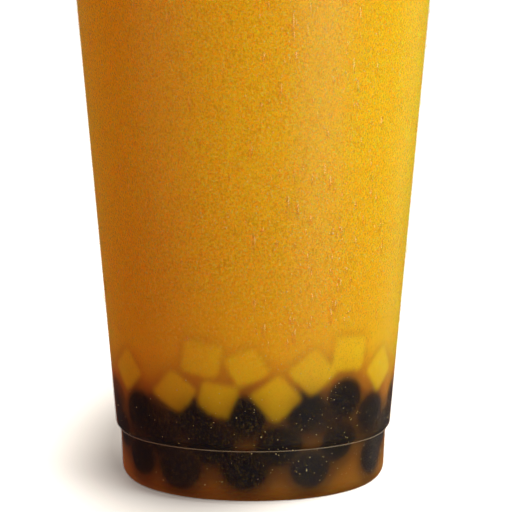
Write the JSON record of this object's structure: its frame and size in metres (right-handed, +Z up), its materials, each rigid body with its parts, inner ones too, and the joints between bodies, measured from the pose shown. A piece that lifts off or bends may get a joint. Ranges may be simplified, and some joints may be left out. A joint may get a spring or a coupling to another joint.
{
  "type": "bubble tea",
  "caption": "Tall tapered clear plastic cup of cloudy orange fruit tea, with dark tapioca pearls and pale jelly cubes lying at the bottom.",
  "frame": {"origin": "centre of the ring that the cup stands on, at table height", "axes": "+Z up along the cup's axis, -Y towards the front that the picture shows"},
  "size_m": [0.095, 0.095, 0.158],
  "materials": {
    "clear_plastic": "thin clear plastic, misted with fine cold drops outside",
    "tapioca": "smooth, wet and nearly black",
    "jelly": "soft cloudy yellow jelly",
    "tea": "cloudy orange liquid"
  },
  "bodies": {
    "root": {"cup": "clear_plastic", "tapioca_pearls": "tapioca", "jelly_cubes": "jelly", "tea": "tea"}
  },
  "joints": []
}
